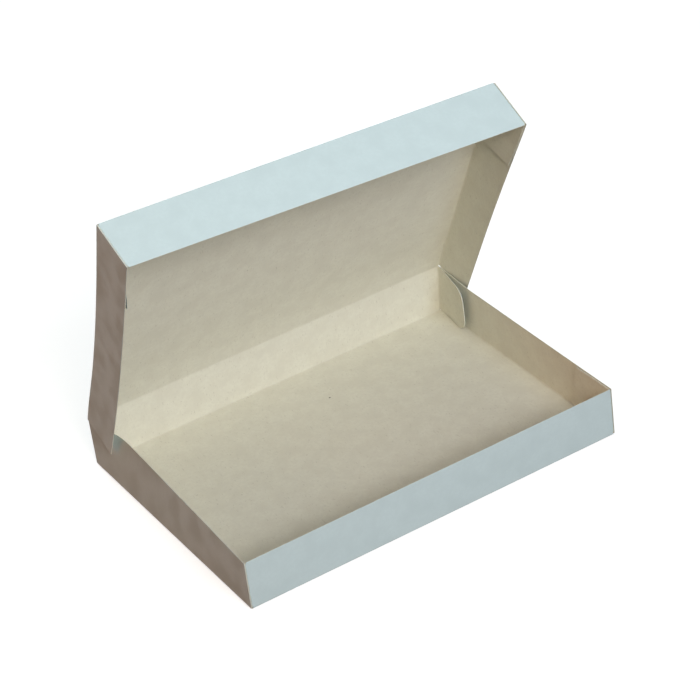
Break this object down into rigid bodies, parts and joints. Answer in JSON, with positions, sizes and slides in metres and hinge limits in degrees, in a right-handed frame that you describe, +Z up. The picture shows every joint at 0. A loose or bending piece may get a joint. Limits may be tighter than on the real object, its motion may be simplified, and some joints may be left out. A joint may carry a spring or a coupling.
{
  "type": "cardboard lunch box",
  "caption": "Shallow folding carton with a full-depth hinged lid, standing open: white lined board outside, grey inside, walls held by glued corner tabs.",
  "frame": {"origin": "middle of the tray's underside, at the height of the surface that it rests on", "axes": "+X along the crease, to the right as seen from the front; +Y from the front wall to the rear wall; +Z up"},
  "size_m": [0.2852, 0.204, 0.2236],
  "materials": {
    "tray_board": "white lined folding boxboard, matt clay coating outside and grey fibre inside",
    "lid_board": "white lined folding boxboard, matt clay coating outside and grey fibre inside"
  },
  "bodies": {
    "tray": {"tray": "tray_board"},
    "lid": {"lid": "lid_board"}
  },
  "joints": [
    {"name": "lid_hinge", "type": "hinge", "parent": "tray", "child": "lid", "pos_m": [0, 0.10175, 0.03655], "axis": [-1, 0, 0], "range_deg": [-62, 118]}
  ]
}
